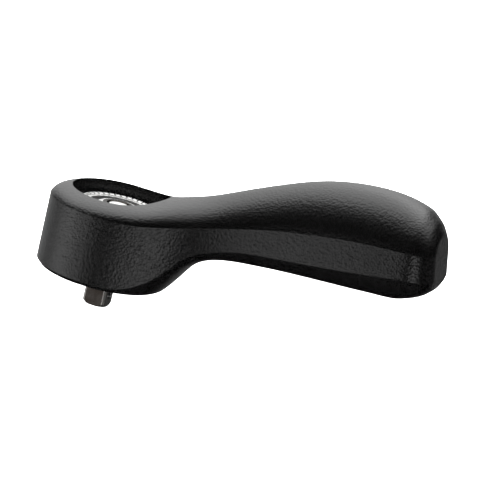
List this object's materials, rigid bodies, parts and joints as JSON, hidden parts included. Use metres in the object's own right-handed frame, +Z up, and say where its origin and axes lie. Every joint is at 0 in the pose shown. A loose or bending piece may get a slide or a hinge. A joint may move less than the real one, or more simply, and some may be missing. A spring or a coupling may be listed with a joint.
{
  "type": "winch handle",
  "caption": "Short one-hand winch handle: round hub with a one-way roller clutch, square drive with button-released ball lock, swelling palm grip.",
  "frame": {"origin": "on the drive axis in the plane of the hub's underside", "axes": "+Z up the drive axis towards the open recess, -Z out of the square drive, +X along the arm to the palm grip, +Y to the left of the grip"},
  "size_m": [0.1665, 0.0568, 0.0827],
  "materials": {
    "black_nylon": "fine pebble texture, satin",
    "bright_steel": "turned, satin",
    "dark_steel": "black oxide",
    "black_chrome": "dark polished plating",
    "bearing_steel": "ground",
    "bronze": "sintered bearing bronze",
    "cage_nylon": "natural nylon",
    "rubber_seal": "nitrile, matte"
  },
  "bodies": {
    "handle": {"body_shell": "black_nylon", "base_cover": "black_nylon", "cover_screws": "bright_steel", "cover_seal": "rubber_seal", "clutch_housing": "bright_steel", "clutch_rollers": "bearing_steel", "roller_cage": "cage_nylon", "roller_springs": "bearing_steel", "lower_bush": "bronze", "upper_bush": "bronze", "thrust_washer": "bright_steel", "wave_washer": "bright_steel", "retaining_plate": "dark_steel", "snap_ring": "bright_steel", "shaft_seal": "rubber_seal"},
    "drive": {"drive_spindle": "black_chrome", "spindle_washer": "bright_steel", "spindle_circlip": "bright_steel", "button_retainer": "bright_steel", "button_spring": "bearing_steel"},
    "button": {"release_button": "bright_steel", "release_rod": "bearing_steel"},
    "ball": {"lock_ball": "bearing_steel"}
  },
  "joints": [
    {"name": "drive_turn", "type": "hinge", "parent": "handle", "child": "drive", "pos_m": [0, 0, 0], "axis": [0, 0, 1], "continuous": true},
    {"name": "button_press", "type": "slide", "parent": "drive", "child": "button", "axis": [0, 0, -1], "range_m": [0, 0.003], "stiffness_N_per_m": 600, "springref_m": -0.004, "deforming": ["button_spring"]},
    {"name": "ball_sink", "type": "slide", "parent": "drive", "child": "ball", "axis": [-1, 0, 0], "range_m": [0, 0.0008]}
  ],
  "couplings": [
    {"joint": "ball_sink", "follows": "button_press", "ratio": 0.26667}
  ]
}
